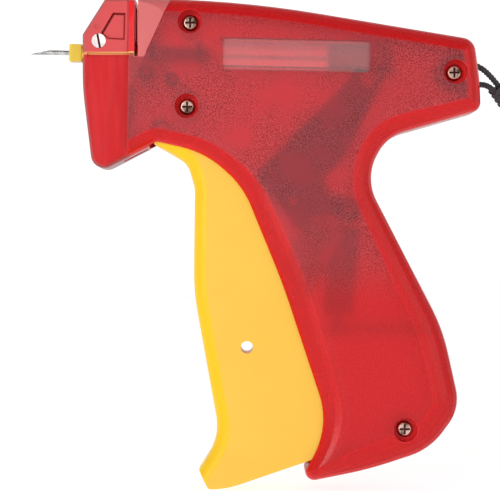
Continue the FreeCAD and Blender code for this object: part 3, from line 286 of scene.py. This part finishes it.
def red_plastic():
    """Clear red plastic: grained flat sides, rounded edges, satin nose, hazy cap, facet and windows; painted
    shade darkens the rims, the lines round the cap and facet and the screw recesses, and painted light
    brightens the walls inside the slot.
    """
    material, tree, shader, coords = new_material("red_plastic")
    x, y, z, away = axes_of(tree, coords)
    facing = axes_of(tree, coords.node.outputs["Normal"])[3]
    masks = red_regions(tree, x, y, z, away, facing)
    speckle = noise(tree, coords, 0.45 * MM, 3.0, 0.65)
    cloud = ramp(tree, noise(tree, coords, 14 * MM, 2.0), 0.35, 0.7)
    grit = ramp(tree, speckle, 0.42, 0.60)
    streak = ramp(tree, noise(tree, coords, 2.6 * MM, 3.0, 0.6, (1.0, 1.0, 0.12)), 0.36, 0.64)
    flat = all_of(tree, ramp(tree, facing, 0.95, 0.985), span_ramp(tree, away, INNER_FACE_Y, 1.0, 0.0))
    in_grip = span_ramp(tree, z, GRIP_Z, 1.0, 0.0)

    edge = blend_colours(tree, grit, (0.84, 0.002, 0.004), (0.99, 0.008, 0.012))
    # painted shade: the rounded edges darken to (0.55, 0.008, 0.012) where their surface turns sideways, away
    # from the flat sides
    rounded = blend_colours(tree, ramp(tree, facing, 0.1, 0.5), (0.55, 0.008, 0.012), edge)
    colour = blend_colours(tree, flat, rounded, (0.97, 0.20, 0.22))
    through = mix_values(tree, flat, ramp(tree, facing, 0.1, 0.9, 0.12, 0.5), 0.92)
    rough = ramp(tree, cloud, 0.0, 1.0, 0.24, 0.29)

    lively = blend_colours(tree, grit, (0.42, 0.010, 0.02), (1.0, 0.185, 0.22))
    uneven = blend_colours(tree, cloud, lively, (0.88, 0.075, 0.105))
    uneven = blend_colours(tree, span_ramp(tree, x, REAR_X), uneven, lively)
    uneven = blend_colours(tree, span_ramp(tree, z, TOP_Z, 0.0, 0.5), uneven, (1.0, 0.02, 0.035))
    even = blend_colours(tree, grit, (0.84, 0.006, 0.012), (0.95, 0.018, 0.028))
    # painted shade: 0 on the dark rim painted where the nose and cap turn sideways, 1 on their faces
    rim_shade_fade = ramp(tree, facing, 0.25, 0.7)
    # painted light: the walls inside the slot are a lighter red, standing in for light that comes through the
    # plastic around them
    slot_wall_painted_light = span_ramp(tree, away, SLOT_INNER, 1.0, 0.0)
    lower_nose = blend_colours(tree, streak, (0.92, 0.014, 0.02), (0.98, 0.03, 0.036))
    hazy_cap = blend_colours(tree, cloud, (0.94, 0.11, 0.115), (0.97, 0.125, 0.13))
    layers = {    # colour, roughness and transmission of each finish, and of the painted shade and light
        "grained": (blend_colours(tree, in_grip, uneven, even), ramp(tree, speckle, 0.3, 0.7, 0.42, 0.52),
                    span_ramp(tree, z, GRIP_Z, 0.62, 0.74)),
        "facet": (blend_colours(tree, cloud, (0.80, 0.165, 0.165), (0.82, 0.18, 0.18)), 0.3, 0.2),
        # nose and cap: painted shade, (0.26, 0.015, 0.02) and (0.26, 0.02, 0.025) towards their rims
        "nose": (blend_colours(tree, rim_shade_fade, (0.26, 0.015, 0.02), lower_nose), 0.26,
                 mix_values(tree, rim_shade_fade, 0.05, 0.4)),
        "cap": (blend_colours(tree, rim_shade_fade, (0.26, 0.02, 0.025), hazy_cap), 0.25,
                mix_values(tree, rim_shade_fade, 0.05, 0.32)),
        # slot: deep red outside, painted light on the walls inside it
        "slot": (blend_colours(tree, slot_wall_painted_light, (0.88, 0.014, 0.02), (1.0, 0.10, 0.11)), 0.3,
                 mix_values(tree, slot_wall_painted_light, 0.1, 0.3)),
        # painted shade: dark lines at the cap's panel, the cap's rear and the facet's border
        "lines": (blend_colours(tree, cloud, (0.42, 0.006, 0.010), (0.46, 0.008, 0.012)), 0.3, 0.3),
        "flange": (blend_colours(tree, cloud, (0.98, 0.36, 0.10), (1.0, 0.46, 0.18)), 0.25, 0.2),
        "window": (blend_colours(tree, cloud, (0.97, 0.54, 0.56), (0.99, 0.60, 0.62)), 0.24, 0.8),
        # painted shade: a deeper red in the screw recesses
        "recess_shade": (blend_colours(tree, grit, (0.92, 0.03, 0.035), (1.0, 0.05, 0.06)), 0.25, 0.15),
    }
    for name, (layer, roughly, clearly) in layers.items():
        colour = blend_colours(tree, masks[name], colour, layer)
        rough = mix_values(tree, masks[name], rough, roughly)
        through = mix_values(tree, masks[name], through, clearly)
    link(tree, colour, shader.inputs["Base Color"])
    link(tree, rough, shader.inputs["Roughness"])
    link(tree, through, shader.inputs["Transmission Weight"])
    shader.inputs["IOR"].default_value = 1.49
    shader.inputs["Specular IOR Level"].default_value = 0.14
    bump(tree, shader, all_of(tree, speckle, masks["grained"]), 0.07 * MM, 0.8)
    volume = add_node(tree, "ShaderNodeVolumeAbsorption", Color=(0.965, 0.05, 0.07, 1.0), Density=560.0)
    link(tree, volume.outputs[0], tree.get_output_node("ALL").inputs["Volume"])
    return material


# ---- other materials ----
def yellow_plastic(name, side, front, edge_from, edge_to):
    """Satin yellow plastic, deeper in colour where the piece rounds towards its front."""
    material, tree, shader, coords = new_material(name)
    flat = ramp(tree, axes_of(tree, coords)[3], edge_from, edge_to)
    cloud = ramp(tree, noise(tree, coords, 22 * MM, 3.0), 0.35, 0.65)
    paler = tuple(min(1.0, channel * 1.02 + 0.004) for channel in side)
    face = blend_colours(tree, cloud, side, paler)
    link(tree, blend_colours(tree, flat, front, face), shader.inputs["Base Color"])
    link(tree, ramp(tree, noise(tree, coords, 5 * MM, 3.0), 0.3, 0.7, 0.3, 0.42), shader.inputs["Roughness"])
    bump(tree, shader, noise(tree, coords, 0.5 * MM, 2.0), 0.012 * MM, 0.6)
    shader.inputs["Specular IOR Level"].default_value = 0.3
    shader.inputs["Subsurface Weight"].default_value = 0.15
    shader.inputs["Subsurface Radius"].default_value = (0.004, 0.002, 0.0006)
    shader.inputs["Subsurface Scale"].default_value = 1.0
    return material


def moulded(name, dark, light, rough_low=0.38, rough_high=0.55):
    """Opaque moulded plastic with faint flow marks."""
    material, tree, shader, coords = new_material(name)
    flow = ramp(tree, noise(tree, coords, 6 * MM, 4.0, 0.6, (1.0, 1.0, 0.35)), 0.35, 0.65)
    link(tree, blend_colours(tree, flow, dark, light), shader.inputs["Base Color"])
    grain = noise(tree, coords, 0.4 * MM, 3.0)
    link(tree, ramp(tree, grain, 0.3, 0.7, rough_low, rough_high), shader.inputs["Roughness"])
    bump(tree, shader, grain, 0.02 * MM, 0.5)
    return material


def metal(name, dark, light, rough_low, rough_high, stretch=(1.0, 1.0, 1.0), size=0.5 * MM):
    """Metal with a drawn or plated finish and darker spots of handling; where the two colours lie far apart,
    as on the screws, the pale spots are partly painted glints.
    """
    material, tree, shader, coords = new_material(name)
    tarnish_and_glints = ramp(tree, noise(tree, coords, 2.5 * MM, 3.0), 0.4, 0.65)
    link(tree, blend_colours(tree, tarnish_and_glints, light, dark), shader.inputs["Base Color"])
    shader.inputs["Metallic"].default_value = 1.0
    lines = noise(tree, coords, size, 3.0, 0.6, stretch)
    link(tree, ramp(tree, lines, 0.3, 0.7, rough_low, rough_high), shader.inputs["Roughness"])
    bump(tree, shader, lines, 0.01 * MM, 0.4)
    return material


def recessed_metal(name, dark, light, rough_low, rough_high, low, high):
    """Metal with painted shade in its slot: dark red-brown between low and high across the tool."""
    material = metal(name, dark, light, rough_low, rough_high)
    tree = material.node_tree
    shader = principled_of(material)
    coords = next(item for item in tree.nodes if item.type == "TEX_COORD").outputs["Object"]
    y = axes_of(tree, coords)[1]
    face = shader.inputs["Base Color"].links[0].from_socket
    # painted shade: the slot between low and high is dark red-brown
    slot = within(tree, y, low, high, 0.04 * MM)
    link(tree, blend_colours(tree, slot, face, (0.09, 0.025, 0.025)), shader.inputs["Base Color"])
    return material


def braid_black():
    """Dull black polyester filaments."""
    material, tree, shader, coords = new_material("braid_black")
    fibre = noise(tree, coords, 0.16 * MM, 3.0, 0.7)
    link(tree, blend_colours(tree, ramp(tree, fibre, 0.35, 0.7), (0.010, 0.010, 0.011), (0.10, 0.10, 0.105)),
         shader.inputs["Base Color"])
    link(tree, ramp(tree, fibre, 0.3, 0.7, 0.45, 0.75), shader.inputs["Roughness"])
    shader.inputs["Sheen Weight"].default_value = 0.25
    shader.inputs["Sheen Roughness"].default_value = 0.4
    bump(tree, shader, fibre, 0.04 * MM, 0.8)
    return material


def studio_white():
    """Pale floor, bright enough to leave no horizon."""
    material, tree, shader, coords = new_material("studio_white")
    paper = ramp(tree, noise(tree, coords, 0.4, 2.0), 0.3, 0.7)
    link(tree, blend_colours(tree, paper, (0.28, 0.28, 0.28), (0.31, 0.31, 0.31)), shader.inputs["Base Color"])
    shader.inputs["Roughness"].default_value = 0.9
    shader.inputs["Specular IOR Level"].default_value = 0.0
    shader.inputs["Emission Color"].default_value = (1.0, 1.0, 1.0, 1.0)
    shader.inputs["Emission Strength"].default_value = 0.84
    return material


# ---- finishes ----
RED = red_plastic()
TRIGGER_YELLOW = yellow_plastic(
    "trigger_yellow_plastic", (0.975, 0.56, 0.068), (0.99, 0.58, 0.004), 8.46 * MM, 8.499 * MM)
BASE_YELLOW = yellow_plastic(
    "base_yellow_plastic", (0.88, 0.62, 0.06), (0.86, 0.55, 0.02), 2.0 * MM, 2.38 * MM)
DARK = moulded("dark_acetal", (0.10, 0.085, 0.09), (0.15, 0.125, 0.13))
SMOKY = moulded("smoky_nylon", (0.30, 0.21, 0.22), (0.38, 0.27, 0.28))
GREY = moulded("grey_acetal", (0.48, 0.36, 0.36), (0.56, 0.42, 0.42))
NEEDLE = metal("needle_steel_drawn", (0.33, 0.32, 0.31), (0.62, 0.61, 0.60), 0.18, 0.34, (0.1, 1.0, 1.0))
# screws: brown heads whose pale patches stand in part for painted glints
SCREW = recessed_metal("screw_steel_plated", (0.16, 0.09, 0.06), (0.78, 0.58, 0.48), 0.18, 0.36,
                       -8.75 * MM, -7.7 * MM)
LOCK = recessed_metal("lock_silver_plated", (0.72, 0.62, 0.62), (0.95, 0.87, 0.86), 0.3, 0.45,
                      -10.5 * MM, -9.7 * MM)
PIN = metal("pin_steel_ground", (0.36, 0.35, 0.35), (0.60, 0.59, 0.59), 0.25, 0.42)
WIRE = metal("spring_wire_steel", (0.24, 0.23, 0.23), (0.42, 0.40, 0.40), 0.3, 0.5)
BRAID = braid_black()

FINISH = {
    "housing_screws": SCREW, "needle": NEEDLE, "needle_base": BASE_YELLOW, "needle_lock_screw": LOCK,
    "trigger_pusher": PIN, "trigger_pivot_pin": PIN, "drive_lever": DARK, "lever_pivot_pin": PIN,
    "lever_bushes": DARK, "lever_cross_pin": PIN, "spring_anchor_pin": PIN, "slider": GREY,
    "slider_pin": PIN, "push_rod": PIN, "rod_guide": DARK, "cutter_blade": PIN, "feed_wheel": SMOKY,
    "feed_wheel_axle": PIN, "feed_pawl": SMOKY, "feed_pawl_pin": PIN, "detent_spring": WIRE,
    "lanyard_cord": BRAID, "lanyard_knot": BRAID, "return_spring": WIRE, "near_shell": RED,
    "far_shell": RED, "trigger": TRIGGER_YELLOW,
}
for node, material in FINISH.items():
    for slot in nodes[node].material_slots:
        slot.material = material


# ---- pieces ----
def new_piece(name, mesh, material):
    piece = bpy.data.objects.new(name, mesh)
    scene.collection.objects.link(piece)
    mesh.materials.clear()
    mesh.materials.append(material)
    return piece


def frames_along(points):
    """Point, and two directions across the line that turn as little as possible."""
    count = len(points)
    made = []
    across = None
    for i in range(count):
        ahead = (points[min(i + 1, count - 1)] - points[max(i - 1, 0)]).normalized()
        if across is None:
            across = ahead.orthogonal().normalized()
        across = (across - ahead * across.dot(ahead)).normalized()
        made.append((points[i], across, ahead.cross(across)))
    return made


def tube_rings(rings, verts, faces):
    """Adds a closed tube through rings of points to verts and faces."""
    sides = len(rings[0])
    first = len(verts)
    for ring in rings:
        verts.extend(ring)
    for i in range(len(rings) - 1):
        for j in range(sides):
            a = first + i * sides + j
            b = first + i * sides + (j + 1) % sides
            faces.append((a, b, b + sides, a + sides))
    faces.append(tuple(first + j for j in reversed(range(sides))))
    last = first + (len(rings) - 1) * sides
    faces.append(tuple(last + j for j in range(sides)))


def ring_at(frame_at, radius, sides):
    centre, across, up = frame_at
    return [centre + (across * math.cos(t) + up * math.sin(t)) * radius
            for t in (2 * math.pi * j / sides for j in range(sides))]


def smooth_mesh(name, verts, faces):
    mesh = bpy.data.meshes.new(name)
    mesh.from_pydata([tuple(v) for v in verts], [], faces)
    mesh.polygons.foreach_set("use_smooth", [True] * len(mesh.polygons))
    mesh.update()
    return mesh


def resample(points, step):
    """The same line in even steps of about the given length."""
    lengths = [0.0]
    for a, b in zip(points, points[1:]):
        lengths.append(lengths[-1] + (b - a).length)
    count = max(2, round(lengths[-1] / step))
    made = []
    i = 0
    for k in range(count + 1):
        target = lengths[-1] * k / count
        while i < len(points) - 2 and lengths[i + 1] < target:
            i += 1
        span = lengths[i + 1] - lengths[i]
        made.append(points[i].lerp(points[i + 1], (target - lengths[i]) / span if span else 0.0))
    return made


# ---- cord ----
CORD_ROUTE = [
    (46.4, 0.9, 81.2), (42.8, 0.2, 85.8), (38.1, 0.0, 88.6), (30.0, 0.0, 90.85), (23.6, 0.0, 84.9),
    (30.0, 0.0, 78.95), (38.6, 0.0, 81.9), (42.6, -0.4, 81.6), (46.4, -1.3, 77.8), (49.4, -1.8, 73.4),
    (51.4, -6.0, 58.0), (52.6, -12.0, 34.0), (52.6, -15.0, 6.0), (52.4, -14.0, -18.0), (52.0, -8.6, -34.9),
    (51.8, 1.0, -40.9), (52.0, 10.4, -33.9), (52.6, 15.0, -16.0), (53.2, 15.6, 8.0), (53.0, 12.4, 36.0),
    (52.0, 6.6, 59.0), (49.6, 1.8, 75.0),
]
STRANDS_EACH_WAY = 4
STRAND_R = 0.31 * MM
BRAID_R = 0.64 * MM
BRAID_WAVE = 0.12 * MM
BRAID_PITCH = 4.6 * MM
BRAID_STEPS = 14


def spline_points(name, places):
    """Points of the smooth line that the route's own points control."""
    curve = bpy.data.curves.new(name, "CURVE")
    curve.dimensions = "3D"
    spline = curve.splines.new("NURBS")
    spline.points.add(len(places) - 1)
    for point, place in zip(spline.points, places):
        point.co = (place[0] * MM, place[1] * MM, place[2] * MM, 1.0)
    spline.order_u = 3
    spline.use_endpoint_u = True
    spline.resolution_u = 24
    holder = bpy.data.objects.new(name, curve)
    scene.collection.objects.link(holder)
    mesh = bpy.data.meshes.new_from_object(holder.evaluated_get(bpy.context.evaluated_depsgraph_get()))
    line = [v.co.copy() for v in mesh.vertices]
    bpy.data.objects.remove(holder)
    return line


def braided_mesh(name, line):
    """Round braid: strands wound both ways that pass over and under each other, on a filled core."""
    steps = frames_along(resample(line, BRAID_PITCH / BRAID_STEPS))
    verts = []
    faces = []
    core = [ring_at(at, BRAID_R, 8) for at in steps]
    tube_rings(core, verts, faces)
    for way in (1, -1):
        for k in range(STRANDS_EACH_WAY):
            centres = []
            for i, (centre, across, up) in enumerate(steps):
                turned = 2 * math.pi * i / BRAID_STEPS
                angle = way * turned + 2 * math.pi * k / STRANDS_EACH_WAY
                out = BRAID_R + way * BRAID_WAVE * math.cos(STRANDS_EACH_WAY * turned)
                centres.append(centre + (across * math.cos(angle) + up * math.sin(angle)) * out)
            tube_rings([ring_at(at, STRAND_R, 6) for at in frames_along(centres)], verts, faces)
    return smooth_mesh(name, verts, faces)


cord_line = spline_points("cord_route", CORD_ROUTE)
cord = new_piece("lanyard_braid", braided_mesh("lanyard_braid", cord_line), BRAID)
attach(cord, "housing")
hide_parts("lanyard_cord")

KNOT_AT = Vector((47.6, 0.0, 78.4)) * MM
KNOT_AXIS_LEAN = math.radians(180 - 35)
KNOT_TURNS = 3.6
KNOT_WRAP_R = 2.45 * MM
KNOT_HALF = 3.1 * MM
KNOT_STEPS = 120
KNOT_SWELL = 0.05         # the wraps bulge by this share, three times a turn


def knot_line():
    """Wraps round the two strands along the knot's leaning axis, bulging a little three times a turn."""
    lean = Matrix.Rotation(KNOT_AXIS_LEAN, 3, "Y")
    line = []
    for i in range(KNOT_STEPS + 1):
        t = i / KNOT_STEPS
        angle = 2 * math.pi * KNOT_TURNS * t
        swell = 1.0 + KNOT_SWELL * math.sin(3.0 * angle)
        place = Vector((math.cos(angle) * KNOT_WRAP_R * swell, math.sin(angle) * KNOT_WRAP_R * swell,
                        KNOT_HALF * (2 * t - 1)))
        line.append(KNOT_AT + lean @ place)
    return line


knot = new_piece("lanyard_knot_wraps", braided_mesh("lanyard_knot_wraps", knot_line()), BRAID)
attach(knot, "housing")
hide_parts("lanyard_knot")

# ---- spring ----
CROSS_PIN = Vector((-4.3, 0.0, 40.0)) * MM
ANCHOR = Vector((-7.7, 0.0, 0.7)) * MM
COIL_R = 4.6 * MM
WIRE_R = 0.6 * MM
COIL_TURNS = 19


LOW_RING_R = 2.1 * MM
HIGH_RING_R = 2.5 * MM
RING_STEPS = 20
COIL_STEPS = 20            # for each turn
LOW_NECK = 4.6 * MM        # from the anchor pin to the coil
HIGH_NECK = 5.6 * MM       # from the coil to the cross pin
NECK_RISE = 0.5 * MM
NECK_ASIDE = 1.0 * MM


def spring_line():
    """Ring round the anchor pin, neck, close coil, neck, and ring round the cross pin."""
    up = (CROSS_PIN - ANCHOR).normalized()
    side = up.cross(Vector((0.0, 1.0, 0.0))).normalized()
    across = Vector((0.0, 1.0, 0.0))
    low = ANCHOR + up * LOW_NECK
    high = CROSS_PIN - up * HIGH_NECK

    def ring(centre, radius, way):
        return [centre - way * up * radius * math.cos(t) + side * radius * math.sin(t)
                for t in (2 * math.pi * k / RING_STEPS for k in range(RING_STEPS))]

    line = ring(ANCHOR, LOW_RING_R, -1)
    line += [ANCHOR + up * LOW_RING_R, low - up * NECK_RISE, low + side * NECK_ASIDE]
    for k in range(COIL_TURNS * COIL_STEPS + 1):
        t = k / (COIL_TURNS * COIL_STEPS)
        angle = 2 * math.pi * COIL_TURNS * t
        line.append(low.lerp(high, t) + (side * math.cos(angle) + across * math.sin(angle)) * COIL_R)
    line += [high + side * NECK_ASIDE, high + up * NECK_RISE, CROSS_PIN - up * HIGH_RING_R]
    line += ring(CROSS_PIN, HIGH_RING_R, 1)
    return line


def spring_mesh(name):
    verts = []
    faces = []
    tube_rings([ring_at(at, WIRE_R, 8) for at in frames_along(spring_line())], verts, faces)
    return smooth_mesh(name, verts, faces)


spring = new_piece("return_spring_coil", spring_mesh("return_spring_coil"), WIRE)
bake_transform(spring)
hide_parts("return_spring")


# ---- studio ----
FLOOR_Z = -0.0525
FLOOR_HALF = 4.0


def floor():
    """Pale floor under the tool."""
    corners = [(x * FLOOR_HALF, y * FLOOR_HALF, FLOOR_Z) for x, y in ((-1, -1), (1, -1), (1, 1), (-1, 1))]
    sheet = bpy.data.objects.new("studio_floor", smooth_mesh("studio_floor", corners, [(0, 1, 2, 3)]))
    scene.collection.objects.link(sheet)
    sheet.data.materials.append(studio_white())


def area_light(name, place, target, width, height, power):
    lamp = bpy.data.lights.new(name, "AREA")
    lamp.shape = "RECTANGLE"
    lamp.size = width
    lamp.size_y = height
    lamp.energy = power
    holder = bpy.data.objects.new(name, lamp)
    scene.collection.objects.link(holder)
    holder.location = place
    holder.rotation_euler = (Vector(target) - Vector(place)).to_track_quat("-Z", "Y").to_euler()


def studio_world():
    """Bright surroundings: white behind the tool, a little darker in front of it and dim above."""
    world = bpy.data.worlds.new("studio")
    scene.world = world
    world.use_nodes = True
    sky = world.node_tree
    sky.nodes.clear()
    ground = add_node(sky, "ShaderNodeBackground", Strength=0.8)
    link(sky, ground.outputs[0], sky.nodes.new("ShaderNodeOutputWorld").inputs[0])
    y, z = axes_of(sky, sky.nodes.new("ShaderNodeTexCoord").outputs["Generated"])[1:3]
    walls = blend_colours(sky, ramp(sky, y, -0.95, 0.0), (0.62, 0.62, 0.63), (1.0, 1.0, 1.0))
    walls = blend_colours(sky, ramp(sky, y, 0.1, 0.6), walls, (1.35, 1.35, 1.35))
    overhead = ramp(sky, z, 0.1, 0.9, 0.0, 0.6)
    link(sky, blend_colours(sky, overhead, walls, (0.25, 0.25, 0.25)), ground.inputs["Color"])


def place_camera():
    """Level camera about 58 cm in front, as the photograph was taken."""
    camera_data = bpy.data.cameras.new("camera")
    camera_data.sensor_width = 36.0
    camera_data.lens = 125.0
    camera_data.clip_start = 0.01
    camera = bpy.data.objects.new("camera", camera_data)
    scene.collection.objects.link(camera)
    camera.location = (-0.03667, -0.5787, 0.02817)
    camera.rotation_euler = (math.pi / 2, 0.0, 0.0)
    scene.camera = camera


floor()
MIDDLE = (-0.025, 0.0, 0.03)
area_light("key", (-0.5, -0.8, 0.2), MIDDLE, 0.5, 0.5, 2.9)
area_light("fill", (0.55, -0.6, 0.1), MIDDLE, 0.5, 0.7, 1.0)
studio_world()
place_camera()

scene.view_settings.view_transform = "Standard"
scene.cycles.max_bounces = 20
scene.cycles.transmission_bounces = 20
scene.cycles.transparent_max_bounces = 16
scene.cycles.glossy_bounces = 6
scene.cycles.diffuse_bounces = 6

bpy.context.view_layer.update()
